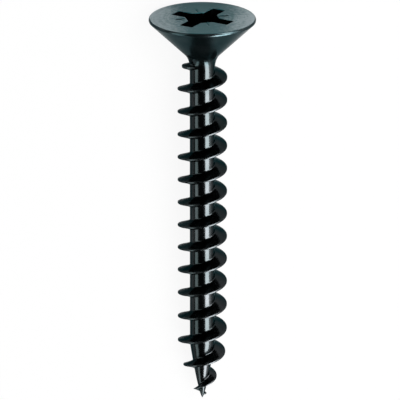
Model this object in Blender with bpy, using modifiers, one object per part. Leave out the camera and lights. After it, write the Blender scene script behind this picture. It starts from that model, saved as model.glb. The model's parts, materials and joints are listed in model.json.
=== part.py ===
"""Multi-purpose screw, 5 x 40 mm, with a countersunk head, a cross recess and a coarse thread.

The screw is modelled upright in its own frame: the head's flat face lies at z = 0, facing up, and
the point is below it on the Z axis. Depths are measured from the head's face towards the point.
The finished screw is then laid on its side, on the rim of its head and on the crest of its thread,
with the head towards +Y.
"""
import math

import bmesh
import bpy
import numpy as np
from mathutils import Matrix

# Whole screw
LENGTH = 0.0400
FACETS = 42                      # facets round the turned body and along each turn of the thread
SMOOTH_ANGLE = math.radians(30)

# Head
HEAD_DIAMETER = 0.0105
HEAD_ANGLE = math.radians(91.5)  # across the whole cone
RIM_HEIGHT = 0.00030             # straight edge between the face and the cone
RIM_ROUNDING = 0.00025

# Neck and core
CORE_DIAMETER = 0.00248
NECK_FLARE = 0.00042             # how much wider the neck is at the cone than the core, on each side
NECK_LENGTH = 0.0015
NECK_HOLLOW = 2.5                # power of the neck's curve: 1 is a cone, more is hollower
NECK_STEPS = 6

# Point
POINT_LENGTH = 0.0059            # the core narrows over this length
POINT_FULLNESS = 0.72            # power of the distance to the tip: 1 is a cone, less is fuller
POINT_STEPS = 9

# Thread, right-handed, one start
THREAD_DIAMETER = 0.0049
THREAD_ANGLE = math.radians(40)  # between the two flanks
CREST_WIDTH = 0.00015
PITCH = 0.00237
STRETCH_LENGTH = 0.0144          # over this length before the tip the turns draw apart
PITCH_GROWTH = 0.000071          # how much each of those turns gains on the one before
RUN_OUT_DEPTH = 0.00425          # where the even thread would leave the neck
RUN_OUT_ANGLE = math.radians(-77)
RUN_OUT_TURNS = 0.80             # the ridge rises and its crest narrows over these turns
RUN_OUT_EASE = 2.4               # it rises steadily at first and levels off with this power
RUN_OUT_SINK = 0.00011           # the ridge starts this far below the neck's surface
RUN_OUT_CREST = 0.00025          # width of the blunt crest where it starts
RUN_OUT_DROP = 0.00039           # the ridge starts this much nearer the point than the even thread
RUN_OUT_DROP_TURNS = 0.63        # and joins it over these turns
THREAD_POINT_LENGTH = 0.0055     # the crest narrows over this length
THREAD_POINT_FULLNESS = 0.605
THREAD_END_GAP = 0.00035         # the ridge has sunk into the point this far before the tip
THREAD_FADE_TURNS = 0.12
CLOSING_TURNS = 0.70             # over its last turns the thread closes up on the tip
CLOSING_LENGTH = 0.00095         # how much shorter that makes it than its pitch would
ROOT_SHARE = 0.60                # the ridge's foot lies inside the core, at this share of its radius

# Cross recess, type Z
RECESS_TURN = math.radians(59)
RECESS_DEPTH = 0.0029
WING_SPAN = 0.0064
WING_FOOT_SPAN = 0.0027
WING_WIDTH = 0.00142
WING_DRAFT = 0.00012             # how much narrower the wing is at its foot
SOCKET_WIDTH = 0.0032            # square core of the recess, turned 45 degrees to the wings
SOCKET_FOOT_WIDTH = 0.0017
SOCKET_TIP_DEPTH = 0.0004        # conical bottom, below the recess's depth
MARK_SPAN = 0.0055
MARK_WIDTH = 0.00018
CUT_MARGIN = 0.0005              # cutters stand this far out of the face


def clear_scene():
    """Remove the objects that a new scene starts with."""
    for obj in list(bpy.data.objects):
        bpy.data.objects.remove(obj, do_unlink=True)


def new_collection(name):
    collection = bpy.data.collections.new(name)
    bpy.context.scene.collection.children.link(collection)
    return collection


def new_object(name, mesh, collection):
    obj = bpy.data.objects.new(name, mesh)
    collection.objects.link(obj)
    return obj


def black_steel():
    """Hardened steel with a black, lightly oiled finish."""
    material = bpy.data.materials.new("black_steel")
    material.use_nodes = True
    shader = material.node_tree.nodes["Principled BSDF"]
    shader.inputs["Base Color"].default_value = (0.040, 0.047, 0.048, 1.0)
    shader.inputs["Metallic"].default_value = 1.0
    shader.inputs["Roughness"].default_value = 0.24
    material.diffuse_color = (0.040, 0.047, 0.048, 1.0)
    return material


def cone_depth():
    """Depth at which the head's cone meets the neck."""
    fall = HEAD_DIAMETER / 2 - CORE_DIAMETER / 2 - NECK_FLARE
    return RIM_HEIGHT + fall / math.tan(HEAD_ANGLE / 2)


def core_radius(depth):
    """Radius of the body under the thread, for an array of depths below the cone."""
    core = CORE_DIAMETER / 2
    neck = np.clip((depth - cone_depth()) / NECK_LENGTH, 0.0, 1.0)
    to_tip = np.clip((LENGTH - depth) / POINT_LENGTH, 0.0, 1.0)
    return core * to_tip ** POINT_FULLNESS + NECK_FLARE * (1.0 - neck) ** NECK_HOLLOW


def crest_radius(depth):
    """Radius of the thread's crest, which narrows towards the tip."""
    to_tip = np.clip((LENGTH - depth) / THREAD_POINT_LENGTH, 0.0, 1.0)
    return THREAD_DIAMETER / 2 * to_tip ** THREAD_POINT_FULLNESS


def body_profile():
    """Outline of the turned body as (radius, depth), from the centre of the face to the tip."""
    rim = HEAD_DIAMETER / 2
    outline = [(0.0, 0.0)]
    for angle in (0.0, math.pi / 4, math.pi / 2):
        outline.append((rim - RIM_ROUNDING * (1 - math.sin(angle)),
                        RIM_ROUNDING * (1 - math.cos(angle))))
    outline.append((rim, RIM_HEIGHT))

    neck = cone_depth() + NECK_LENGTH * np.linspace(0.0, 1.0, NECK_STEPS + 1)
    point = LENGTH - POINT_LENGTH * np.linspace(1.0, 0.0, POINT_STEPS + 1) ** 1.5
    depths = np.concatenate([neck, point[:-1]])
    outline.extend(zip(core_radius(depths), depths))
    outline.append((0.0, LENGTH))
    return outline


def turned_body(collection):
    """Head, neck, core and point, turned round the Z axis."""
    bm = bmesh.new()
    verts = [bm.verts.new((radius, 0.0, -depth)) for radius, depth in body_profile()]
    for upper, lower in zip(verts, verts[1:]):
        bm.edges.new((upper, lower))
    mesh = bpy.data.meshes.new("screw")
    bm.to_mesh(mesh)
    bm.free()

    body = new_object("screw", mesh, collection)
    turn = body.modifiers.new("turn", "SCREW")
    turn.axis = "Z"
    turn.steps = FACETS
    turn.render_steps = FACETS
    turn.use_merge_vertices = True
    turn.merge_threshold = 0.000001
    return body


def thread_turns_to(depth):
    """Number of turns from the run-out to a depth, with the pitch growing towards the tip."""
    steady = (LENGTH - STRETCH_LENGTH - RUN_OUT_DEPTH) / PITCH
    beyond = depth - RUN_OUT_DEPTH - steady * PITCH
    if beyond <= 0:
        return (depth - RUN_OUT_DEPTH) / PITCH
    half_growth = PITCH_GROWTH / 2
    root = math.sqrt(PITCH ** 2 + 4 * half_growth * beyond)
    return steady + (root - PITCH) / (2 * half_growth)


def thread_sections():
    """Four-cornered sections of the ridge, one at each facet edge, as an array (section, corner, xyz).

    The corners run round the section: foot above, crest above, crest below, foot below.
    """
    last_turn = thread_turns_to(LENGTH - THREAD_END_GAP + CLOSING_LENGTH)
    count = int(last_turn * FACETS) + 1
    turns = np.arange(count) / FACETS
    steady = (LENGTH - STRETCH_LENGTH - RUN_OUT_DEPTH) / PITCH
    stretch = PITCH_GROWTH / 2 * np.maximum(turns - steady, 0.0) ** 2
    closing = np.maximum(1.0 - (last_turn - turns) / CLOSING_TURNS, 0.0) ** 2
    drop = np.maximum(1.0 - turns / RUN_OUT_DROP_TURNS, 0.0) ** 2
    depth = (RUN_OUT_DEPTH + PITCH * turns + stretch
             + RUN_OUT_DROP * drop - CLOSING_LENGTH * closing)
    facet = 2 * math.pi / FACETS
    angle = facet * round(RUN_OUT_ANGLE / facet) - 2 * math.pi * turns

    core = core_radius(depth)
    rise = 1.0 - np.clip(1.0 - turns / RUN_OUT_TURNS, 0.0, 1.0) ** RUN_OUT_EASE
    fade = np.clip((last_turn - turns) / THREAD_FADE_TURNS, 0.0, 1.0)
    low = core - RUN_OUT_SINK * core / (CORE_DIAMETER / 2)
    crest = low + (crest_radius(depth) - low) * rise * fade
    foot = core * ROOT_SHARE

    blunt = (RUN_OUT_CREST - CREST_WIDTH) * np.clip(1.0 - turns / RUN_OUT_TURNS, 0.0, 1.0)
    narrowing = np.minimum(1.0, crest_radius(depth) / crest_radius(LENGTH - POINT_LENGTH / 2))
    crest_half = (CREST_WIDTH + blunt) / 2 * narrowing
    foot_half = crest_half + (crest - foot) * math.tan(THREAD_ANGLE / 2)
    radii = np.stack([foot, crest, crest, foot], axis=1)
    offsets = np.stack([-foot_half, -crest_half, crest_half, foot_half], axis=1)
    return np.stack([radii * np.cos(angle)[:, None],
                     radii * np.sin(angle)[:, None],
                     -(depth[:, None] + offsets)], axis=2)


def loft(name, sections, collection):
    """Skin a row of sections with the same number of corners, and close both ends."""
    bm = bmesh.new()
    rings = [[bm.verts.new(corner) for corner in section] for section in sections]
    for ring, following in zip(rings, rings[1:]):
        for corner in range(len(ring)):
            beside = (corner + 1) % len(ring)
            bm.faces.new((ring[corner], ring[beside], following[beside], following[corner]))
    bm.faces.new(rings[0])
    bm.faces.new(rings[-1])
    bmesh.ops.recalc_face_normals(bm, faces=bm.faces)
    mesh = bpy.data.meshes.new(name)
    bm.to_mesh(mesh)
    bm.free()
    return new_object(name, mesh, collection)


def tapered_block(name, face_size, foot_size, depth, turn, collection):
    """Block sunk into the face, with its plan size given at the face and at its foot."""
    top = [face + (face - foot) * CUT_MARGIN / depth for face, foot in zip(face_size, foot_size)]
    bm = bmesh.new()
    bmesh.ops.create_cube(bm, size=1.0)
    for vert in bm.verts:
        plan = top if vert.co.z > 0 else foot_size
        vert.co.x *= plan[0]
        vert.co.y *= plan[1]
        vert.co.z = CUT_MARGIN if vert.co.z > 0 else -depth
    bmesh.ops.rotate(bm, verts=bm.verts, matrix=Matrix.Rotation(turn, 3, "Z"))
    mesh = bpy.data.meshes.new(name)
    bm.to_mesh(mesh)
    bm.free()
    return new_object(name, mesh, collection)


def socket_tip(collection):
    """Conical bottom of the recess."""
    radius = SOCKET_FOOT_WIDTH / 2
    overlap = RECESS_DEPTH / 10
    height = SOCKET_TIP_DEPTH + overlap
    bm = bmesh.new()
    bmesh.ops.create_cone(bm, cap_ends=True, segments=FACETS // 2, radius1=0.0,
                          radius2=radius * height / SOCKET_TIP_DEPTH, depth=height)
    bmesh.ops.translate(bm, verts=bm.verts, vec=(0, 0, -RECESS_DEPTH + overlap - height / 2))
    mesh = bpy.data.meshes.new("socket_tip")
    bm.to_mesh(mesh)
    bm.free()
    return new_object("socket_tip", mesh, collection)


def radial_mark(name, turn, collection):
    """Fine V-shaped groove across the face, from one side to the other, pointed at both ends."""
    half = MARK_WIDTH / 2
    shoulder = MARK_SPAN / 2 - MARK_WIDTH
    sections = []
    for reach, size in ((-MARK_SPAN / 2, half / 4), (-shoulder, half), (shoulder, half),
                        (MARK_SPAN / 2, half / 4)):
        sections.append([(reach, -size, 0.0), (reach, 0.0, size), (reach, size, 0.0),
                         (reach, 0.0, -size)])
    mark = loft(name, sections, collection)
    mark.data.transform(Matrix.Rotation(turn, 4, "Z"))
    return mark


def recess_cutters(collection):
    """Wings, square core, conical bottom and radial marks of the cross recess."""
    wing = (WING_SPAN, WING_WIDTH)
    wing_foot = (WING_FOOT_SPAN, WING_WIDTH - WING_DRAFT)
    socket = (SOCKET_WIDTH, SOCKET_WIDTH)
    socket_foot = (SOCKET_FOOT_WIDTH, SOCKET_FOOT_WIDTH)
    between = RECESS_TURN + math.pi / 4
    cutters = [
        tapered_block("wing_cut_1", wing, wing_foot, RECESS_DEPTH, RECESS_TURN, collection),
        tapered_block("wing_cut_2", wing, wing_foot, RECESS_DEPTH, RECESS_TURN + math.pi / 2, collection),
        tapered_block("socket_cut", socket, socket_foot, RECESS_DEPTH, between, collection),
        socket_tip(collection),
        radial_mark("mark_cut_1", between, collection),
        radial_mark("mark_cut_2", between + math.pi / 2, collection),
    ]
    return cutters


def add_boolean(target, tool, operation):
    """Join or cut the target with a tool, which is shown as wire and not rendered."""
    tool.hide_render = True
    tool.display_type = "WIRE"
    boolean = target.modifiers.new(f"{operation.lower()}_{tool.name}", "BOOLEAN")
    boolean.operation = operation
    boolean.object = tool
    boolean.solver = "EXACT"


def apply_modifiers(obj):
    """Replace the object's mesh by what its modifiers make of it."""
    graph = bpy.context.evaluated_depsgraph_get()
    mesh = bpy.data.meshes.new_from_object(obj.evaluated_get(graph))
    obj.modifiers.clear()
    obj.data = mesh
    mesh.name = obj.name


def lay_down(screw):
    """Turn the screw on its side as it rests, and centre it on the origin, standing on z = 0.

    The side that faces +Y in the screw's own frame goes down. The rim of the head is the pivot, and
    the screw tilts towards its point until the first crest of the thread meets the ground.
    """
    count = len(screw.data.vertices)
    points = np.empty(count * 3, dtype=np.float32)
    screw.data.vertices.foreach_get("co", points)
    points = points.reshape(count, 3).astype(float)

    outward = points[:, 1]
    depth = -points[:, 2]
    on_rim = outward > outward.max() - RIM_ROUNDING / 100
    rim_depth = depth[on_rim].max()
    beyond = depth > cone_depth()
    slopes = (outward.max() - outward[beyond]) / (depth[beyond] - rim_depth)
    tilt = math.atan(slopes.min())

    pose = Matrix.Rotation(tilt - math.pi / 2, 4, "X")
    laid = points @ np.array(pose.to_3x3()).T
    lowest = laid.min(axis=0)
    highest = laid.max(axis=0)
    middle = (lowest + highest) / 2
    screw.rotation_euler = (tilt - math.pi / 2, 0.0, 0.0)
    screw.location = (-middle[0], -middle[1], -lowest[2])


def main():
    clear_scene()
    parts = new_collection("multi_purpose_screw")
    cutters = new_collection("cutters")

    screw = turned_body(parts)
    thread = loft("thread_ridge", thread_sections(), cutters)
    add_boolean(screw, thread, "UNION")
    for cutter in recess_cutters(cutters):
        add_boolean(screw, cutter, "DIFFERENCE")

    apply_modifiers(screw)
    screw.data.materials.clear()
    screw.data.materials.append(black_steel())
    screw.data.shade_smooth()
    screw.data.set_sharp_from_angle(angle=SMOOTH_ANGLE)
    lay_down(screw)


main()
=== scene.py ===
"""Looks of a black countersunk multi-purpose screw that lies on a pale floor.

The screw is one smooth skin. It is worked out in the screw's own frame, with the centre of the
head's face at the origin, x to the right, y downwards and z out of the face, and then laid where the
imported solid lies. A depth is the distance from the head's face towards the point. All sizes are in
metres and all angles in radians.
"""

import json
import logging
import math
from dataclasses import dataclass, field
from enum import Enum
from typing import Any

import bpy
import numpy as np
from mathutils import Matrix, Vector


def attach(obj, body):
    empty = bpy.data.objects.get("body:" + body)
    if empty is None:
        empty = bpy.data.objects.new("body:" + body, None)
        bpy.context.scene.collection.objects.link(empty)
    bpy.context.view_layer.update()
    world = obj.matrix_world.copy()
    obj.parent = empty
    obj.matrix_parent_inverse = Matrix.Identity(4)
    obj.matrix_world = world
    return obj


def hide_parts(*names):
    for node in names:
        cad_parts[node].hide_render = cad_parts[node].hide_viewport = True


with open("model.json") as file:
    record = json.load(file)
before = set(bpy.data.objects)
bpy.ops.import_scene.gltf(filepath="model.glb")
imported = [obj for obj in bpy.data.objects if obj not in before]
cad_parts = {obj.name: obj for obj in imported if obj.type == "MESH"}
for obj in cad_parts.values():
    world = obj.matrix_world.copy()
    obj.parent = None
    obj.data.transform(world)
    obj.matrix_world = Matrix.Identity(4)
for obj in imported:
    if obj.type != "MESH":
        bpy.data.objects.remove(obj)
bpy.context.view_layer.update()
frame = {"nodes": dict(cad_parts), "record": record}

log = logging.getLogger("screw")

Array = np.ndarray
Colour = tuple[float, float, float]
Range = tuple[float, float]
Value = "Signal | float"
Tint = "Colour | bpy.types.NodeSocket"

COLUMNS = 120                        # columns of the skin round the screw
EIGHTH = COLUMNS // 8
COLUMN_TURN = 2 * math.pi / COLUMNS
BODY = "root"
NODE = "screw"


class Hand(Enum):
    """Which way the thread turns on its way to the point, seen from the head."""

    RIGHT = -1
    LEFT = 1


class Signal:
    """A number in a shader, which can be used in Python's sums."""

    def __init__(self, shader: "Shader", socket: bpy.types.NodeSocket) -> None:
        """Wrap an output socket of a shader."""
        self.shader = shader
        self.socket = socket

    def apply(self, operation: str, *values: Value) -> "Signal":
        """Result of a Math node on some values."""
        made = self.shader.node("ShaderNodeMath", {"operation": operation}, dict(enumerate(values)))
        return Signal(self.shader, made.outputs[0])

    def __add__(self, other: Value) -> "Signal":
        """This plus the other."""
        return self.apply("ADD", self, other)

    def __sub__(self, other: Value) -> "Signal":
        """This less the other."""
        return self.apply("SUBTRACT", self, other)

    def __rsub__(self, other: Value) -> "Signal":
        """The other less this."""
        return self.apply("SUBTRACT", other, self)

    def __mul__(self, other: Value) -> "Signal":
        """This times the other."""
        return self.apply("MULTIPLY", self, other)

    def __pow__(self, other: Value) -> "Signal":
        """This to the power of the other."""
        return self.apply("POWER", self, other)

    def __abs__(self) -> "Signal":
        """This without its sign."""
        return self.apply("ABSOLUTE", self)

    def at_most(self, limit: Value) -> "Signal":
        """The lower of this and a limit."""
        return self.apply("MINIMUM", self, limit)

    def ramp(self, low: float, high: float) -> "Signal":
        """Smooth step of this from 0 at the low value to 1 at the high one."""
        made = self.shader.node("ShaderNodeMapRange", {"interpolation_type": "SMOOTHSTEP"},
                                {"Value": self, "From Min": low, "From Max": high})
        return Signal(self.shader, made.outputs[0])


@dataclass(frozen=True)
class Pattern:
    """Cloudy noise, which runs from about 0.3 to 0.7 round 0.5."""

    scale: float                         # features to a metre
    detail: float                        # layers of finer features
    roughness: float = 0.5               # strength of a layer, as a share of the one before


class Shader:
    """Builds the nodes of a material or of the world."""

    def __init__(self, owner: bpy.types.Material | bpy.types.World) -> None:
        """Start with no nodes."""
        owner.use_nodes = True
        self.tree = owner.node_tree
        self.tree.nodes.clear()

    def node(self, kind: str, settings: dict[str, Any] | None = None,
             sockets: dict[str | int, Any] | None = None) -> bpy.types.Node:
        """Add a node.

        Args:
            kind: Blender's name for the type of node.
            settings: Values of the node's own properties, set first.
            sockets: Value, Signal or output socket for each input, by its name or number.

        Returns:
            The new node.
        """
        made = self.tree.nodes.new(kind)
        for name, value in (settings or {}).items():
            setattr(made, name, value)
        for name, value in (sockets or {}).items():
            source = value.socket if isinstance(value, Signal) else value
            if isinstance(source, bpy.types.NodeSocket):
                self.tree.links.new(source, made.inputs[name])
            else:
                made.inputs[name].default_value = source
        return made

    def signal(self, kind: str, output: str, settings: dict[str, Any] | None = None,
               sockets: dict[str | int, Any] | None = None) -> Signal:
        """Add a node and take one of its outputs as a number."""
        return Signal(self, self.node(kind, settings, sockets).outputs[output])

    def parts(self, vector: bpy.types.NodeSocket) -> list[Signal]:
        """The x, y and z of a vector."""
        made = self.node("ShaderNodeSeparateXYZ", None, {0: vector})
        return [Signal(self, made.outputs[name]) for name in "XYZ"]

    def noise(self, point: bpy.types.NodeSocket, pattern: Pattern) -> Signal:
        """Noise of a pattern at each point."""
        return self.signal("ShaderNodeTexNoise", "Fac", None, {
            "Vector": point, "Scale": pattern.scale, "Detail": pattern.detail,
            "Roughness": pattern.roughness})

    def blend(self, share: Value, first: Tint, second: Tint) -> bpy.types.NodeSocket:
        """Colour that goes from the first to the second as the share goes from 0 to 1."""
        ends = [(*end, 1.0) if isinstance(end, tuple) else end for end in (first, second)]
        made = self.node("ShaderNodeMix", {"data_type": "RGBA"}, {0: share, 6: ends[0], 7: ends[1]})
        return made.outputs[2]

    def seen_share(self, direct: Value, mirrored: Value) -> Signal:
        """One share for what the camera sees, another for what it sees in metal or through glass.

        Args:
            direct: Share for the camera's own rays.
            mirrored: Share for glossy and transmission rays.

        Returns:
            The share, which is 0 for every other ray.
        """
        path = self.node("ShaderNodeLightPath")
        camera, glossy, through = (Signal(self, path.outputs[name]) for name in (
            "Is Camera Ray", "Is Glossy Ray", "Is Transmission Ray"))
        return camera * direct + (glossy + through).at_most(1.0) * mirrored


@dataclass(frozen=True)
class BlackSteel:
    """Rolled steel under a thin glossy black finish with a trace of oil.

    The thread keeps the glossy black of rolled metal. The head takes the finish a little thicker and
    shows it teal. Its struck face is duller and teal, with a pale painted sheen towards the right and
    the left whose edge is mottled. In cloudy patches the finish is thinner and greyer everywhere. It is
    rubbed on the crest of the thread and on the edges of the head, and the recess's rolled edge also
    has a painted highlight. The recess and the marks that run to a side are painted near black as
    shade. Fine lines run round the axis from rolling and pressing.
    """

    thread: Colour = (0.0210, 0.0250, 0.0260)
    thread_thin: Colour = (0.0320, 0.0340, 0.0360)
    head: Colour = (0.0140, 0.0260, 0.0290)
    head_thin: Colour = (0.0380, 0.0520, 0.0560)
    face: Colour = (0.0160, 0.1020, 0.1160)
    # Pale painted sheen that the face turns to towards its right and left.
    face_painted_sheen: Colour = (0.3700, 0.4500, 0.4750)
    rubbed: Colour = (0.0340, 0.0380, 0.0400)
    # Worn edges of the head, and a painted highlight on the recess's rolled edge.
    head_rub_and_glint: Colour = (0.1300, 0.1450, 0.1500)
    # Near black painted shade in the recess and in the marks that run to a side.
    painted_shade: Colour = (0.0006, 0.0008, 0.0009)
    edge_tint: Colour = (0.400, 0.455, 0.465)  # low, so that steep flanks stay dark
    specular_level: float = 0.30
    head_fade: Range = (-0.0050, -0.0035)    # heights over which the finish turns into the head's
    face_fade: Range = (-0.00004, -0.00001)  # heights over which it turns into the face's
    groove_depth: float = 0.0001             # depth to which the face's own marks have its finish
    groove_fade: Range = (0.0040, 0.0048)    # radii over which that ends
    painted_sheen_fade: Range = (0.0013, 0.0052)      # distances aside over which the painted sheen comes in on the face
    painted_sheen_middle: float = 0.0002              # where they are counted from, right of the axis
    painted_sheen_slope: float = 0.10                 # how much further out the painted sheen comes in lower on the face
    painted_sheen_patches: float = 0.003              # how far patches, mottling and lines shift that
    painted_sheen_mottle: float = 0.005
    painted_sheen_lines: float = 0.003
    cone_metal: float = 0.85                 # how metallic the head's cone looks
    face_metal: float = 0.40
    roughness: float = 0.18
    face_roughness: float = 0.32
    rub_roughness: float = 0.14              # added where the finish is rubbed
    shade_roughness: float = 0.05          # added where shade is painted
    roughness_spread: float = 0.16           # weight of the unevenness of patches, grain and lines
    grain_roughness: float = 0.8             # share of the grain in that, where the patches' is 1
    line_roughness: float = 0.5
    relief: float = 0.0000016
    grain_relief: float = 0.7                # shares of the grain and the lines in the relief
    line_relief: float = 0.5
    patches: Pattern = Pattern(190.0, 4.0, 0.6)
    patch_fade: Range = (0.38, 0.66)         # values of the patches over which the finish thins
    mottle: Pattern = Pattern(2600.0, 3.0, 0.7)
    grain: Pattern = Pattern(7000.0, 3.0, 0.6)
    chips: Pattern = Pattern(1400.0, 3.0)    # breaks up the rubbed places
    chip_fade: Range = (0.35, 0.62)
    line_scale: float = 5200.0
    line_stretch: float = 0.06

    def material(self, place: "Placement") -> bpy.types.Material:
        """Make the finish.

        Args:
            place: Where the screw lies, which the head's and the thread's finish follow.

        Returns:
            The material.
        """
        made = bpy.data.materials.new("black_steel_finish")
        shader = Shader(made)
        point = shader.node("ShaderNodeTexCoord").outputs["Object"]
        turn = Matrix(place.axes.tolist()).to_euler()
        shift = -(place.axes @ place.centre)
        own = shader.node("ShaderNodeMapping", None,
                          {"Vector": point, "Location": shift, "Rotation": turn}).outputs[0]
        x, y, z = shader.parts(own)
        radius = (x * x + y * y) ** 0.5
        head = z.ramp(*self.head_fade)
        inner = 1.0 - radius.ramp(*self.groove_fade)
        face = (z + inner * self.groove_depth).ramp(*self.face_fade)

        drawn = shader.node("ShaderNodeVectorMath", {"operation": "MULTIPLY"},
                            {0: own, 1: (self.line_stretch, self.line_stretch, 1.0)}).outputs[0]
        lines = shader.signal("ShaderNodeTexNoise", "Fac", {"noise_dimensions": "4D"},
                              {"Vector": drawn, "W": radius, "Scale": self.line_scale, "Detail": 1.0})
        patches = shader.noise(own, self.patches)
        mottle = shader.noise(own, self.mottle)
        grain = shader.noise(own, self.grain)
        wear_and_shade = shader.signal("ShaderNodeAttribute", "Fac", {"attribute_name": "wear_and_shade"})
        # Rubbed places: worn crests and edges, and a painted highlight on the recess's rolled edge.
        rub_and_glint = wear_and_shade.ramp(0.0, 1.0) * shader.noise(own, self.chips).ramp(*self.chip_fade)
        # Painted shade: where the attribute is negative, in the recess and the marks that run to a
        # side, the colour goes near black.
        shade_share = (wear_and_shade * -1.0).ramp(0.0, 1.0)

        patch = patches.ramp(*self.patch_fade)
        colour = shader.blend(head, shader.blend(patch, self.thread, self.thread_thin),
                              shader.blend(patch, self.head, self.head_thin))
        # Painted sheen: the face turns pale towards its right and left, a little further out lower
        # down, with a mottled edge.
        aside = (abs(x - self.painted_sheen_middle) - y * self.painted_sheen_slope + (patches - 0.5) * self.painted_sheen_patches
                 + (mottle - 0.5) * self.painted_sheen_mottle + (lines - 0.5) * self.painted_sheen_lines)
        face_with_painted_sheen = shader.blend(aside.ramp(*self.painted_sheen_fade), self.face, self.face_painted_sheen)
        colour = shader.blend(face, colour, face_with_painted_sheen)
        colour = shader.blend(rub_and_glint, colour, shader.blend(head, self.rubbed, self.head_rub_and_glint))
        colour = shader.blend(shade_share, colour, self.painted_shade)
        bare = 1.0 - head * (1.0 - self.cone_metal) - face * (self.cone_metal - self.face_metal)
        metal = bare + shade_share * (1.0 - bare)
        uneven = ((patches - 0.5) + (grain - 0.5) * self.grain_roughness
                  + (lines - 0.5) * self.line_roughness)
        rough = (uneven * self.roughness_spread + self.roughness + rub_and_glint * self.rub_roughness
                 + face * (self.face_roughness - self.roughness) + shade_share * self.shade_roughness)
        bump = shader.node("ShaderNodeBump", None, {
            "Height": grain * self.grain_relief + lines * self.line_relief, "Distance": self.relief})
        surface = shader.node("ShaderNodeBsdfPrincipled", None, {
            "Base Color": colour, "Metallic": metal, "Roughness": rough, "Normal": bump.outputs[0],
            "Specular IOR Level": self.specular_level, "Specular Tint": (*self.edge_tint, 1.0)})
        shader.node("ShaderNodeOutputMaterial", None, {"Surface": surface.outputs[0]})
        return made


@dataclass(frozen=True)
class PalePaper:
    """Matt white paper that shows nearly white to the camera and keeps a soft shadow."""

    colour: Colour = (0.84, 0.84, 0.84)
    fibre_tone: float = 0.96             # tone of the darker fibres, as a share of the colour
    shown: float = 0.90                  # share of plain white in what the camera sees near the screw
    near: float = 0.10                   # distance up to which that share holds
    far: float = 0.50                    # distance from which the camera sees plain white alone
    mirrored: float = 0.15               # share of plain white in what metal and glass show of it
    white: float = 1.02                  # strength of the plain white
    roughness: float = 0.75
    roughness_spread: float = 0.2
    specular_level: float = 0.1
    fibres: Pattern = Pattern(2600.0, 4.0, 0.65)
    relief: float = 0.000012

    def material(self) -> bpy.types.Material:
        """Make the paper, whose fibres give it a fine uneven surface and tone."""
        made = bpy.data.materials.new("pale_paper")
        shader = Shader(made)
        point = shader.node("ShaderNodeTexCoord").outputs["Object"]
        x, y, _ = shader.parts(point)
        shown = ((x * x + y * y) ** 0.5).ramp(self.near, self.far) * (1.0 - self.shown) + self.shown
        fibres = shader.noise(point, self.fibres)
        darker = tuple(self.fibre_tone * part for part in self.colour)
        colour = shader.blend(fibres, darker, self.colour)
        bump = shader.node("ShaderNodeBump", None,
                           {"Height": fibres, "Strength": 0.5, "Distance": self.relief})
        paper = shader.node("ShaderNodeBsdfPrincipled", None, {
            "Base Color": colour, "Roughness": fibres * self.roughness_spread + self.roughness,
            "Normal": bump.outputs[0], "Specular IOR Level": self.specular_level})
        white = shader.node("ShaderNodeEmission", None,
                            {"Color": (1.0, 1.0, 1.0, 1.0), "Strength": self.white})
        mixed = shader.node("ShaderNodeMixShader", None, {
            0: shader.seen_share(shown, self.mirrored), 1: paper.outputs[0], 2: white.outputs[0]})
        shader.node("ShaderNodeOutputMaterial", None, {"Surface": mixed.outputs[0]})
        return made


def add_object(name: str, data: bpy.types.ID) -> bpy.types.Object:
    """Make an object of some data and link it to the scene."""
    made = bpy.data.objects.new(name, data)
    bpy.context.scene.collection.objects.link(made)
    return made


def steps(start: Array, end: Array, count: int) -> Array:
    """Even steps from each start to each end, both included, along a new last axis."""
    start, end = np.broadcast_arrays(start, end)
    return start[..., None] + (end - start)[..., None] * np.linspace(0.0, 1.0, count)


def whole_ring(eighth: Array, turn: float) -> Array:
    """Complete a ring from one eighth of it.

    The eighth is mirrored at its far end, which makes a quarter, and the quarter is repeated four
    times round the centre.

    Args:
        eighth: Plan points as complex numbers, EIGHTH + 1 of them along the last axis, from angle 0
            to an eighth of a turn.
        turn: Angle that the whole ring is turned by.

    Returns:
        COLUMNS plan points along the last axis, anticlockwise.
    """
    mirrored = 1j * np.conj(eighth[..., -2:0:-1])
    quarter = np.concatenate([eighth, mirrored], axis=-1)
    return np.concatenate([quarter * np.exp(1j * turn) * 1j ** k for k in range(4)], axis=-1)


def lift_ring(plan: Array, depth: Array | float) -> Array:
    """Points xyz of plan points given as complex numbers, at a depth for each."""
    depth = np.broadcast_to(depth, plan.shape)
    return np.stack([plan.real, plan.imag, -depth], axis=-1)


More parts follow.
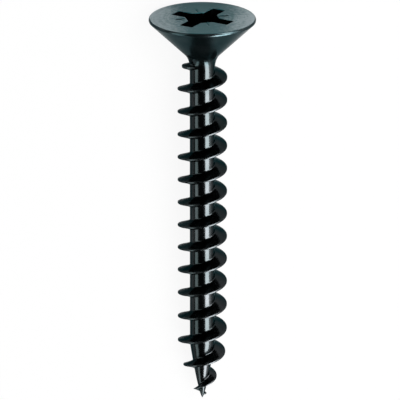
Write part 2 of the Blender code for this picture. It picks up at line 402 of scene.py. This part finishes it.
@dataclass
class Skin:
    """Points, faces and point values of one closed skin, gathered grid by grid."""

    points: list[Array] = field(default_factory=list)
    wear_and_shade: list[Array] = field(default_factory=list)
    faces: list[Array] = field(default_factory=list)
    count: int = 0

    def add_points(self, grid: Array, wear_and_shade: Array | float = 0.0) -> Array:
        """Add a grid of points.

        Args:
            grid: Points as an array that ends in xyz.
            wear_and_shade: How far each point is rubbed, with a painted highlight on the recess's
                rolled edge, up to 1, and how dark its painted shade is, down to -1.

        Returns:
            The points' numbers, in the grid's own layout.
        """
        layout = grid.shape[:-1]
        size = int(np.prod(layout))
        self.points.append(grid.reshape(size, 3))
        self.wear_and_shade.append(np.broadcast_to(wear_and_shade, layout).reshape(size))
        self.count += size
        return np.arange(self.count - size, self.count).reshape(layout)

    def add_faces(self, grid: Array) -> None:
        """Join the rows of a grid of point numbers by four-sided faces that point outwards.

        Args:
            grid: Point numbers (row, column). Columns run anticlockwise as seen from the head, and
                rows run from the middle of the recess over the rim towards the point.
        """
        corners = [grid[:-1, :-1], grid[1:, :-1], grid[1:, 1:], grid[:-1, 1:]]
        self.faces.append(np.stack(corners, axis=-1).reshape(-1, 4))

    def to_object(self, name: str) -> bpy.types.Object:
        """Make a mesh object of the skin.

        A face whose neighbouring corners share a point loses one of them. A face left with fewer
        than three corners is dropped, and so are points that no face uses.

        Args:
            name: The object's name.

        Returns:
            The new object, linked to the scene.
        """
        faces = np.concatenate(self.faces)
        kept = faces != np.roll(faces, -1, axis=1)
        sides = kept.sum(axis=1)
        whole = sides >= 3
        corners = faces[whole][kept[whole]]
        starts = np.concatenate([[0], np.cumsum(sides[whole])[:-1]])
        used, corners = np.unique(corners, return_inverse=True)

        mesh = bpy.data.meshes.new(name)
        mesh.vertices.add(len(used))
        mesh.vertices.foreach_set("co", np.concatenate(self.points)[used].astype(np.float32).ravel())
        mesh.loops.add(len(corners))
        mesh.loops.foreach_set("vertex_index", corners.astype(np.int32))
        mesh.polygons.add(len(starts))
        mesh.polygons.foreach_set("loop_start", starts.astype(np.int32))
        mesh.update(calc_edges=True)
        values = mesh.attributes.new("wear_and_shade", "FLOAT", "POINT")
        values.data.foreach_set("value", np.concatenate(self.wear_and_shade)[used].astype(np.float32))
        return add_object(name, mesh)


@dataclass(frozen=True)
class Placement:
    """Where the screw lies: the centre of its face and its own three axes, as rows."""

    centre: Array
    axes: Array

    @classmethod
    def from_frame(cls, node: bpy.types.Object, record: dict[str, Any]) -> "Placement":
        """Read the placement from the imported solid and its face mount.

        Args:
            node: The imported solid.
            record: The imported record, whose mount gives the face's direction.

        Returns:
            The placement. Its centre is the middle of the solid's points on the face's plane.
        """
        mount = next(m for m in record["mounts"] if m["name"] == "head_face")
        out = np.array(mount["axis"]) / np.linalg.norm(mount["axis"])
        points = np.empty(len(node.data.vertices) * 3, dtype=np.float32)
        node.data.vertices.foreach_get("co", points)
        points = points.reshape(-1, 3).astype(float)
        height = points @ out
        face = points[height > height.max() - 1e-6]
        centre = (face.min(axis=0) + face.max(axis=0)) / 2
        right = np.array([1.0, 0.0, 0.0])
        return cls(centre, np.stack([right, np.cross(out, right), out]))

    def to_world(self, points: Array) -> Array:
        """Turn points from the screw's own frame into world points."""
        return self.centre + points @ self.axes

    def direction(self, right: float, up: float, out: float) -> Vector:
        """World direction from its parts to the right, upwards and out of the face."""
        return Vector(np.array([right, -up, out]) @ self.axes).normalized()

    def on_axis(self, depth: float) -> Vector:
        """World point on the screw's axis at a depth."""
        return Vector(self.to_world(np.array([0.0, 0.0, -depth])))


@dataclass(frozen=True)
class Recess:
    """Punched cross recess: four wings, a square core between them and four radial marks."""

    turn: float = math.radians(59)
    depth: float = 0.0029
    wing_span: float = 0.0064
    wing_foot_span: float = 0.0027
    wing_width: float = 0.00142
    wing_draft: float = 0.00012
    socket_width: float = 0.0032
    socket_foot_width: float = 0.0017
    tip_depth: float = 0.0004
    corner_radius: float = 0.00012
    edge_radius: float = 0.00007
    mark_span: float = 0.0055
    mark_width: float = 0.00018
    mark_depth: float = 0.00008
    corner_share: float = 0.8            # largest share of the core's side that a corner takes
    mark_share: float = 0.5              # largest share that a mark's edge takes
    bottom_shares: tuple[float, ...] = (0.0, 0.3, 0.6)
    wall_rows: int = 9

    def outline(self, depth: Array, margin: Array) -> Array:
        """Outline of the recess at each depth, as one eighth of a ring of plan points.

        It runs along the end of a wing, round its corner, back along its side, round the inner
        corner and along the square core to the edge and the middle of a mark. Straight stretches
        are even steps and corners are arcs. The inner corner is where the wing's side meets the
        line x + y = root 2 times half the core's width.

        Args:
            depth: Depths below the face.
            margin: How far each ring stands outside the true outline.

        Returns:
            Complex plan points (ring, EIGHTH + 1).
        """
        share = depth / self.depth
        length = (self.wing_span + (self.wing_foot_span - self.wing_span) * share) / 2 + margin
        width = (self.wing_width - self.wing_draft * share) / 2 + margin
        core = (self.socket_width + (self.socket_foot_width - self.socket_width) * share) / 2 + margin
        meet = np.maximum(math.sqrt(2) * core - width, width)
        middle = (meet + width) / 2
        bend = self.corner_radius
        run_in = np.minimum(bend * math.tan(math.pi / 8), self.corner_share * (middle - width))
        inner_bend = run_in / math.tan(math.pi / 8)
        mark = np.minimum(self.mark_width / math.sqrt(8), self.mark_share * (middle - width))

        wing_end = steps(length + 0j, length + 1j * (width - bend), 4)
        corner = (length - bend + 1j * (width - bend))[:, None]
        corner = corner + bend * np.exp(1j * np.linspace(0.0, math.pi / 2, 4)[1:-1])
        wing_side = steps(length - bend + 1j * width, meet + run_in + 1j * width, 5)
        inner = meet + run_in + 1j * (width + inner_bend)
        inner = (inner - 1j * inner_bend * np.exp(-1j * math.pi / 8))[:, None]
        core_start = meet - run_in / math.sqrt(2) + 1j * (width + run_in / math.sqrt(2))
        core_side = steps(core_start, middle + mark + 1j * (middle - mark), 3)
        end = (middle * (1 + 1j))[:, None]
        return np.concatenate([wing_end, corner, wing_side, inner, core_side, end], axis=1)

    def inner_rings(self) -> Array:
        """Rings from the middle of the recess's bottom up its walls to the rolled edge at the face.

        The bottom is the foot outline drawn together to a point, and sinks as a cone inside the
        core's foot. The rolled edge is a quarter arc between the walls and the face.

        Returns:
            Points (ring, column, xyz).
        """
        foot = whole_ring(self.outline(np.array([self.depth]), np.zeros(1)), self.turn)
        bottom = foot * np.array(self.bottom_shares)[:, None]
        sink = np.maximum(1.0 - np.abs(bottom) / (self.socket_foot_width / 2), 0.0)
        bottom = lift_ring(bottom, self.depth + self.tip_depth * sink)

        wall = np.linspace(self.depth, self.edge_radius, self.wall_rows)
        roll = np.linspace(math.pi / 2, 0.0, 5)[1:]
        depth = np.concatenate([wall, self.edge_radius * (1 - np.cos(roll))])
        margin = np.concatenate([np.zeros_like(wall), self.edge_radius * (1 - np.sin(roll))])
        walls = lift_ring(whole_ring(self.outline(depth, margin), self.turn), depth[:, None])
        return np.concatenate([bottom, walls])

    def face_rings(self, radius: float) -> Array:
        """Rings on the face from the recess's edge to a circle, with the marks cut in them.

        Each ring lies a share of the way along straight lines from the outline to the circle. A
        mark is a groove of three columns: its middle one sinks, and its two edges keep their
        distance from it out to the circle.

        Args:
            radius: Radius of the circle.

        Returns:
            Points (ring, column, xyz).
        """
        support = self.edge_radius / 3
        start = self.outline(np.zeros(1), np.array([self.edge_radius + support]))
        mark_edge = math.pi / 4 - math.asin(self.mark_width / 2 / radius)
        angles = np.append(np.linspace(0.0, mark_edge, EIGHTH), math.pi / 4)
        end = radius * np.exp(1j * angles)

        near = abs(start[0, -1])
        far = self.mark_span / 2
        ends = (np.array([far - self.mark_width, far]) - near) / (radius - near)
        shares = np.array([0.0, 0.08, 0.3, *ends, 0.85, 1.0])
        plan = start + (end - start) * shares[:, None]
        reach = np.abs(plan[:, -1])
        sink = np.interp(reach, [near, near + self.mark_width, far - self.mark_width, far],
                         [0.5, 1.0, 1.0, 0.0])
        depth = np.zeros((len(plan), COLUMNS))
        depth[:, EIGHTH::2 * EIGHTH] = self.mark_depth * sink[:, None]
        return lift_ring(whole_ring(plan, self.turn), depth)


@dataclass(frozen=True)
class Head:
    """Countersunk head: a flat face with the recess, a straight rim and a cone."""

    diameter: float = 0.0105
    angle: float = math.radians(91.5)
    rim_height: float = 0.00030
    rim_rounding: float = 0.00020
    cone_rounding: float = 0.00005       # length of the soft edge between rim and cone, each way
    support: float = 0.00002             # distance from an edge to the ring that keeps it crisp
    face_circle: float = 0.0036          # the face's rings are round from this radius on
    foot_diameter: float = 0.00332       # where the cone meets the neck
    rim_wear: float = 0.2                # wear on the face's rounded edge
    recess_edge_rub_and_glint: tuple[float, ...] = (0.0, 0.6, 0.9, 0.4)       # wear and a painted highlight up the recess's rolled edge
    side_mark_shade: float = 1.6                   # how dark the painted shade is in the marks that run to a side
    face_rows: int = 5
    rim_rows: int = 9
    corner_rows: int = 6
    cone_rows: int = 16
    recess: Recess = Recess()

    @property
    def cone_end(self) -> float:
        """Depth at which the cone meets the neck."""
        fall = (self.diameter - self.foot_diameter) / 2
        return self.rim_height + fall / math.tan(self.angle / 2)

    def outer_profile(self) -> tuple[Array, Array, Array]:
        """Outline from the face's circle over the rim and down the cone.

        The face's edge is a quarter arc. The edge between rim and cone is a parabola through a
        point on the rim, drawn to the true corner, to a point on the cone.

        Returns:
            Radius, depth and wear along the outline.
        """
        rim = self.diameter / 2
        round_off = self.rim_rounding
        half = self.angle / 2
        flat = np.linspace(self.face_circle, rim - round_off - self.support, self.face_rows)
        arc = np.linspace(0.0, math.pi / 2, self.rim_rows)
        t = np.linspace(0.0, 1.0, self.corner_rows)
        soft = self.cone_rounding
        soft_radius = rim - soft * math.sin(half) * t ** 2
        soft_depth = self.rim_height - soft * (1.0 - t) ** 2 + soft * math.cos(half) * t ** 2
        start = soft_depth[-1] + self.support
        cone_depth = np.linspace(start, self.cone_end, self.cone_rows)
        cone_radius = self.foot_diameter / 2 + (self.cone_end - cone_depth) * math.tan(half)
        radius = np.concatenate([flat, rim - round_off * (1.0 - np.sin(arc)), soft_radius, cone_radius])
        depth = np.concatenate([np.zeros_like(flat), round_off * (1.0 - np.cos(arc)), soft_depth,
                                cone_depth])
        wear_and_shade = np.zeros_like(radius)
        wear_and_shade[self.face_rows:self.face_rows + self.rim_rows] = self.rim_wear * np.sin(2 * arc)
        return radius, depth, wear_and_shade

    def add_to(self, skin: Skin, seam: float) -> tuple[Array, int]:
        """Add the head to the skin, from the middle of the recess to the foot of the cone.

        The columns start even on the recess and are drawn over the face to even turns from the
        angle of the seam. The recess is painted near black as shade up to its rolled edge, which has
        wear and a painted highlight. The marks that run to a side have painted shade too, half as dark
        on their edges as in their middle.

        Args:
            skin: The skin that it joins.
            seam: Angle that one column of the last ring has, where the ribbon of the shank starts.

        Returns:
            Point numbers of the last ring, and how many columns its first point lies past the seam.
        """
        recess = self.recess
        radius, depth, wear_and_shade = self.outer_profile()
        face = recess.face_rings(self.face_circle)
        from_angle = np.unwrap(np.arctan2(face[-1, :, 1], face[-1, :, 0]))
        ring_start = round((recess.turn - seam) / COLUMN_TURN)
        to_angle = seam + COLUMN_TURN * (ring_start + np.arange(COLUMNS))
        share = np.clip((radius - self.face_circle) / (self.diameter / 2 - self.face_circle), 0.0, 1.0)
        share[np.argmax(share):] = 1.0
        angle = from_angle + (to_angle - from_angle) * share[:, None]
        outer = lift_ring(radius[:, None] * np.exp(1j * angle), depth[:, None])

        inner = recess.inner_rings()
        rings = np.concatenate([inner, face, outer[1:]])
        # Per ring, wear and the painted highlight are positive values and painted shade is negative;
        # the recess's bottom and walls get full painted shade.
        painted_shade = np.full(len(inner) - len(self.recess_edge_rub_and_glint), -1.0)
        rub_and_glint = np.concatenate([painted_shade, self.recess_edge_rub_and_glint, np.zeros(len(face)), wear_and_shade[1:]])
        rub_and_glint = np.repeat(rub_and_glint[:, None], COLUMNS, axis=1)
        # Painted shade in the marks that run to a side, from how deep they sink and how far they face a
        # side.
        aside = np.abs(face[..., 0]) / np.hypot(face[..., 0], face[..., 1])
        mark_shade_depth = np.minimum(face[..., 2], 0.5 * (np.roll(face, 1, 1) + np.roll(face, -1, 1))[..., 2])
        rub_and_glint[len(inner):len(rings) - len(outer) + 1] = np.clip(
            self.side_mark_shade * mark_shade_depth / recess.mark_depth * aside, -1.0, 0.0)
        grid = skin.add_points(rings, rub_and_glint)
        grid[0] = grid[0, 0]
        skin.add_faces(np.concatenate([grid, grid[:, :1]], axis=1))
        return grid[-1], ring_start


@dataclass(frozen=True)
class Shank:
    """Neck, core, point and thread of the screw, one skin wound like a ribbon.

    The ribbon is one pitch wide. It starts at the foot of the head's cone, follows the thread to the
    tip, and each turn's lower edge is the next turn's upper edge. A turn is counted from where the
    thread runs out under the head.
    """

    head: Head
    length: float = 0.0400
    core_diameter: float = 0.00248
    neck_length: float = 0.0015
    neck_hollow: float = 2.5
    point_length: float = 0.0059
    point_fullness: float = 0.72
    hand: Hand = Hand.RIGHT
    thread_diameter: float = 0.0049
    thread_angle: float = math.radians(40)
    crest_width: float = 0.00015
    crest_rounding: float = 0.00005
    root_rounding: float = 0.00012
    pitch: float = 0.00237
    stretch_length: float = 0.0144
    pitch_growth: float = 0.000071
    run_out_depth: float = 0.00425
    run_out_angle: float = math.radians(-77)
    run_out_turns: float = 0.80
    run_out_ease: float = 2.4
    run_out_lead: float = 0.20           # turns over which the ridge slowly leaves the neck
    run_out_sink: float = 0.00011
    run_out_crest: float = 0.00025
    run_out_drop: float = 0.00039        # the ridge starts this much nearer the point
    run_out_drop_turns: float = 0.63
    thread_point_length: float = 0.0055
    thread_point_fullness: float = 0.605
    thread_end_gap: float = 0.00035
    thread_fade_turns: float = 0.12
    closing_turns: float = 0.70
    closing_length: float = 0.00095
    tail_turns: float = 0.8              # the ribbon narrows to the tip over this part of a turn
    least_ridge: float = 0.00015         # a lower ridge keeps the foot of one this high
    thinnest: float = 0.00003            # where the ribbon is narrower it has no rows of its own
    most_room: float = 0.9               # largest share of the ribbon's half that the ridge takes
    rubbed_from: float = 0.9             # share of the climb to the crest from which it is rubbed
    shoulder_rows: int = 4
    flank_rows: int = 4
    fillet_rows: int = 6
    flat_rows: int = 4

    def core_radius(self, depth: Array) -> Array:
        """Radius under the thread: a straight core, a hollow neck and a point that is a power curve."""
        neck = np.clip((depth - self.head.cone_end) / self.neck_length, 0.0, 1.0)
        to_tip = np.clip((self.length - depth) / self.point_length, 0.0, 1.0)
        flare = (self.head.foot_diameter - self.core_diameter) / 2 * (1.0 - neck) ** self.neck_hollow
        return self.core_diameter / 2 * to_tip ** self.point_fullness + flare

    def crest_radius(self, depth: Array) -> Array:
        """Radius over the thread: straight, then a power of the distance to the tip."""
        to_tip = np.clip((self.length - depth) / self.thread_point_length, 0.0, 1.0)
        return self.thread_diameter / 2 * to_tip ** self.thread_point_fullness

    @property
    def steady_turns(self) -> float:
        """Turns over which the pitch stays the same."""
        return (self.length - self.stretch_length - self.run_out_depth) / self.pitch

    @property
    def last_turn(self) -> float:
        """Turn at which the thread has sunk into the point, from the helix without its closing."""
        beyond = self.stretch_length - self.thread_end_gap + self.closing_length
        root = math.sqrt(self.pitch ** 2 + 2 * self.pitch_growth * beyond)
        return self.steady_turns + (root - self.pitch) / self.pitch_growth

    def thread_depth(self, turn: Array) -> Array:
        """Depth of the crest's middle.

        It is even turns, plus a drop at the start that dies out as a square, plus the stretch of the
        turns that draw apart, less the closing of the last ones.
        """
        drop = np.maximum(1.0 - turn / self.run_out_drop_turns, 0.0) ** 2
        stretch = self.pitch_growth / 2 * np.maximum(turn - self.steady_turns, 0.0) ** 2
        closing = np.maximum(1.0 - (self.last_turn - turn) / self.closing_turns, 0.0) ** 2
        return (self.run_out_depth + self.pitch * turn + stretch
                + self.run_out_drop * drop - self.closing_length * closing)

    def edge_depth(self, turn: Array) -> Array:
        """Depth of the ribbon's upper edge.

        It is the cone's foot before the first turn, runs evenly to the middle between two crests
        over that turn, stays there to the end of the thread, and then runs evenly to the tip.
        """
        def between(at: Array | float) -> Array:
            """Depth midway between a turn's crest and the crest before."""
            return (self.thread_depth(at - 1.0) + self.thread_depth(at)) / 2

        start = self.head.cone_end
        lead_in = start + (between(1.0) - start) * np.clip(turn, 0.0, 1.0)
        last = between(self.last_turn)
        beyond = np.clip((turn - self.last_turn) / self.tail_turns, 0.0, 1.0)
        lead_out = last + (self.length - last) * beyond
        return np.where(turn < 1.0, lead_in, np.where(turn > self.last_turn, lead_out, between(turn)))

    def ridge_height(self, turn: Array) -> Array:
        """Height of the ridge over the core, which rises at the run-out and fades at the tip."""
        depth = self.thread_depth(turn)
        core = self.core_radius(depth)
        rise = 1.0 - np.clip(1.0 - turn / self.run_out_turns, 0.0, 1.0) ** self.run_out_ease
        rise = rise * np.clip(turn / self.run_out_lead, 0.0, 1.0)
        fade = np.clip((self.last_turn - turn) / self.thread_fade_turns, 0.0, 1.0)
        low = core * (1.0 - self.run_out_sink / (self.core_diameter / 2))
        crest = low + (self.crest_radius(depth) - low) * rise * fade
        return np.maximum(crest - core, 0.0)

    def half_section(self, height: Array, crest_half: Array) -> tuple[Array, Array]:
        """Half of the ridge's section, from the shoulder of the crest to the foot of the fillet.

        The crest's shoulder is an arc, the flank is straight at half the thread's angle, and the
        fillet is an arc that runs into the core.

        Args:
            height: Height of the ridge for each column.
            crest_half: Half of the crest's width for each column.

        Returns:
            Distance from the ridge's middle and height over the core, both (column, row).
        """
        lean = self.thread_angle / 2
        bend = math.pi / 2 - lean
        shoulder = np.linspace(0.0, bend, self.shoulder_rows)
        fillet = np.linspace(bend, 0.0, self.fillet_rows)
        crest_half = np.maximum(crest_half, self.crest_rounding * math.tan(bend / 2))[:, None]
        foot = crest_half + height[:, None] * math.tan(lean) + self.root_rounding * math.tan(bend / 2)
        top_out = crest_half - self.crest_rounding * (math.tan(bend / 2) - np.sin(shoulder))
        top_up = height[:, None] - self.crest_rounding * (1.0 - np.cos(shoulder))
        low_out = foot - self.root_rounding * np.sin(fillet)
        low_up = np.broadcast_to(self.root_rounding * (1.0 - np.cos(fillet)), low_out.shape)
        flank_out = steps(top_out[:, -1], low_out[:, 0], self.flank_rows + 2)[:, 1:-1]
        flank_up = steps(top_up[:, -1], low_up[:, 0], self.flank_rows + 2)[:, 1:-1]
        return (np.concatenate([top_out, flank_out, low_out], axis=1),
                np.concatenate([top_up, flank_up, low_up], axis=1))

    def ribbon(self) -> tuple[Array, Array, Array]:
        """Points of the ribbon, their wear, and which columns are too narrow for rows of their own.

        A column goes across the ribbon at one angle, down the upper flat, over the ridge and down
        the lower flat. Its radius is the core's at its depth, drawn to the core's under the crest as
        it climbs the ridge, plus the ridge. Before and after the thread the rows keep the spacing
        that they have at its ends.

        Returns:
            Points (column, row, xyz), wear (column, row) and a mask (column).
        """
        count = round((1.0 + self.last_turn + self.tail_turns) * COLUMNS)
        turn = np.arange(count + 1) / COLUMNS - 1.0
        on_thread = np.clip(turn, 0.0, self.last_turn)
        middle = self.thread_depth(on_thread)
        upper = self.edge_depth(on_thread)
        lower = self.edge_depth(on_thread + 1.0)

        height = self.ridge_height(on_thread)
        kept_height = np.maximum(height, self.least_ridge)
        lift = height / kept_height * (turn == on_thread)
        blunt = np.maximum(1.0 - on_thread / self.run_out_turns, 0.0)
        width = self.crest_width + (self.run_out_crest - self.crest_width) * blunt
        narrowing = self.crest_radius(middle) / self.crest_radius(self.length - self.point_length / 2)
        out, up = self.half_section(kept_height, width / 2 * np.minimum(narrowing, 1.0))

        sides = []
        for room in (middle - upper, lower - middle):
            fitted = out * np.minimum(1.0, self.most_room * room / out[:, -1])[:, None]
            flat = steps(fitted[:, -1], room, self.flat_rows + 1)[:, 1:]
            sides.append(np.concatenate([fitted, flat], axis=1))
        depth = np.concatenate([(middle[:, None] - sides[0])[:, ::-1], middle[:, None],
                                middle[:, None] + sides[1]], axis=1)
        up = np.concatenate([up, np.zeros((count + 1, self.flat_rows))], axis=1)
        up = np.concatenate([up[:, ::-1], kept_height[:, None], up], axis=1)

        share = (depth - upper[:, None]) / (lower - upper)[:, None]
        upper = self.edge_depth(turn)
        lower = self.edge_depth(turn + 1.0)
        depth = upper[:, None] + share * (lower - upper)[:, None]
        climb = up / kept_height[:, None] * lift[:, None]
        core = self.core_radius(depth)
        radius = core + (self.core_radius(middle)[:, None] - core) * climb + up * lift[:, None]

        angle = self.run_out_angle + self.hand.value * 2 * math.pi * turn
        plan = radius * np.exp(1j * angle)[:, None]
        wear_and_shade = np.clip((climb - self.rubbed_from) / (1.0 - self.rubbed_from), 0.0, 1.0)
        return lift_ring(plan, depth), wear_and_shade, lower - upper < self.thinnest

    def wind(self, skin: Skin, ring: Array, ring_start: int) -> None:
        """Add the ribbon to the skin, glued to the head's last ring, to itself and to the tip.

        Args:
            skin: The skin that it joins.
            ring: Point numbers of the head's last ring.
            ring_start: How many columns the ring's first point lies past the run-out's angle.
        """
        points, wear_and_shade, narrow = self.ribbon()
        grid = skin.add_points(points, wear_and_shade)
        tip = skin.add_points(np.array([[0.0, 0.0, -self.length]]))[0]
        last = len(grid) - 1
        column = np.arange(COLUMNS)
        grid[:COLUMNS, 0] = ring[(self.hand.value * column - ring_start) % COLUMNS]
        grid[0] = grid[0, 0]
        grid[last - COLUMNS:, -1] = tip
        grid[COLUMNS:, 0] = grid[:-COLUMNS, -1]
        grid[narrow, 1:-1] = grid[narrow, :1]
        grid[last] = tip
        skin.add_faces(grid[::self.hand.value].T)


@dataclass(frozen=True)
class Viewpoint:
    """Camera that looks down on the screw, square to its axis but for a rise towards the head."""

    rise: float = math.radians(19.8)
    distance: float = 0.493
    aim_depth: float = 0.01894
    aim_right: float = -0.000233
    focal_length: float = 448.3          # millimetres, as Blender counts them
    sensor_width: float = 36.0           # millimetres
    clip_end: float = 10.0

    def add_camera(self, place: Placement) -> bpy.types.Object:
        """Add the camera, with the head at the top of the picture, and make it the scene's."""
        data = bpy.data.cameras.new("camera")
        data.lens = self.focal_length
        data.sensor_width = self.sensor_width
        data.clip_end = self.clip_end
        camera = add_object("camera", data)
        back = place.direction(0.0, math.cos(self.rise), math.sin(self.rise))
        right = place.direction(1.0, 0.0, 0.0)
        camera.matrix_world = Matrix((right, back.cross(right), back)).transposed().to_4x4()
        camera.location = place.on_axis(self.aim_depth) + right * self.aim_right + back * self.distance
        bpy.context.scene.camera = camera
        return camera


@dataclass(frozen=True)
class Screw:
    """The whole screw: its head and its shank in one skin, and its finish."""

    shank: Shank
    finish: BlackSteel
    sharp_from: float = math.radians(35)

    def build(self, place: Placement) -> bpy.types.Object:
        """Make the screw where it lies, ride it on its body and dress it.

        Args:
            place: Where the screw lies.

        Returns:
            The screw's object.
        """
        skin = Skin()
        ring, ring_start = self.shank.head.add_to(skin, self.shank.run_out_angle)
        self.shank.wind(skin, ring, ring_start)
        skin.points = [place.to_world(grid) for grid in skin.points]
        made = skin.to_object("blackened_screw")
        made.data.shade_smooth()
        made.data.set_sharp_from_angle(angle=self.sharp_from)
        made.data.materials.append(self.finish.material(place))
        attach(made, BODY)
        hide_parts(NODE)
        return made


@dataclass(frozen=True)
class Floor:
    """Round pale floor just under the screw."""

    finish: PalePaper
    radius: float = 1.0
    rings: int = 24
    gap: float = 0.00002                 # how far it lies under the solid's lowest point

    def build(self) -> bpy.types.Object:
        """Make the floor, a polar grid whose rings draw apart as the square of their number."""
        reach = self.radius * np.linspace(0.0, 1.0, self.rings + 1) ** 2
        plan = reach[:, None] * np.exp(1j * COLUMN_TURN * np.arange(COLUMNS))
        skin = Skin()
        grid = skin.add_points(lift_ring(plan, self.gap))
        grid[0] = grid[0, 0]
        skin.add_faces(np.concatenate([grid, grid[:, :1]], axis=1))
        made = skin.to_object("floor")
        made.data.materials.append(self.finish.material())
        return made


class Rays(Enum):
    """What a lamp is there for: the sheen on metal, or the even light and shadow on the floor."""

    SHEEN = "sheen"
    SHADE = "shade"


@dataclass(frozen=True)
class Lamp:
    """Soft rectangular lamp whose long side runs along the screw.

    Its place is given round the screw's axis, from 0 on the camera's side towards the right.
    """

    name: str
    azimuth: float
    width: float
    length: float
    radiance: float
    rays: Rays
    distance: float = 0.30
    shift: float = 0.0                   # how far its middle lies from the screw's towards the head
    colour: Colour = (1.0, 1.0, 1.0)

    def add(self, place: Placement, middle: float) -> bpy.types.Object:
        """Hang the lamp, turned to the screw.

        The power is the radiance times the lamp's area times pi.

        Args:
            place: Where the screw lies.
            middle: Depth of the screw's middle.

        Returns:
            The lamp's object.
        """
        data = bpy.data.lights.new(self.name, "AREA")
        data.shape = "RECTANGLE"
        data.size = self.width
        data.size_y = self.length
        data.energy = self.radiance * self.width * self.length * math.pi
        data.color = self.colour
        lamp = add_object(self.name, data)
        angle = math.radians(self.azimuth)
        back = place.direction(math.sin(angle), math.cos(angle), 0.0)
        along = place.direction(0.0, 0.0, 1.0)
        lamp.matrix_world = Matrix((along.cross(back), along, back)).transposed().to_4x4()
        lamp.location = place.on_axis(middle - self.shift) + back * self.distance
        lamp.visible_camera = False
        lamp.visible_diffuse = self.rays is Rays.SHADE
        lamp.visible_glossy = self.rays is Rays.SHEEN
        return lamp


@dataclass(frozen=True)
class Studio:
    """Lamps round the screw and the plain surround, dark above and white towards the horizon."""

    overhead: Colour = (0.030, 0.032, 0.034)
    horizon: float = 0.02                # height of a direction up to which the surround is white
    fade: float = 0.10                   # height from which it is dark
    middle: float = 0.0200
    lamps: tuple[Lamp, ...] = (
        Lamp("key_strip", 46.0, 0.20, 0.90, 23.0, Rays.SHEEN, shift=-0.46),
        Lamp("key_edge", 77.0, 0.11, 0.90, 3.0, Rays.SHEEN, shift=-0.46),
        Lamp("fill_strip", -56.0, 0.15, 0.90, 4.0, Rays.SHEEN, shift=-0.46, colour=(0.88, 1.0, 0.98)),
        Lamp("head_strip", 62.0, 0.18, 0.60, 12.0, Rays.SHEEN, shift=0.32),
        Lamp("head_fill", -50.0, 0.15, 0.60, 2.0, Rays.SHEEN, shift=0.32, colour=(0.88, 1.0, 0.98)),
        Lamp("soft_top", 22.0, 0.36, 0.70, 4.6, Rays.SHADE, distance=0.50),
    )

    def build(self, place: Placement) -> None:
        """Hang the lamps and make the surround.

        Args:
            place: Where the screw lies.
        """
        for lamp in self.lamps:
            made = lamp.add(place, self.middle)
            log.info("%s: %.1f W", made.name, made.data.energy)
        world = bpy.data.worlds.new("surround")
        bpy.context.scene.world = world
        shader = Shader(world)
        direction = shader.node("ShaderNodeTexCoord").outputs["Generated"]
        height = shader.parts(direction)[2]
        colour = shader.blend(height.ramp(self.horizon, self.fade), (1.0, 1.0, 1.0), self.overhead)
        glow = shader.node("ShaderNodeBackground", None, {"Color": colour})
        shader.node("ShaderNodeOutputWorld", None, {"Surface": glow.outputs[0]})


def main() -> None:
    """Build the screw, the floor, the studio and the camera."""
    place = Placement.from_frame(frame["nodes"][NODE], frame["record"])
    for piece in (Screw(Shank(Head()), BlackSteel()).build(place), Floor(PalePaper()).build()):
        log.info("%s: %d faces", piece.name, len(piece.data.polygons))
    Studio().build(place)
    camera = Viewpoint().add_camera(place)
    log.info("%s: %.0f mm lens", camera.name, camera.data.lens)
    bpy.context.scene.view_settings.view_transform = "Standard"


if __name__ == "__main__":
    logging.basicConfig(level=logging.INFO, format="%(name)s: %(message)s")
    main()
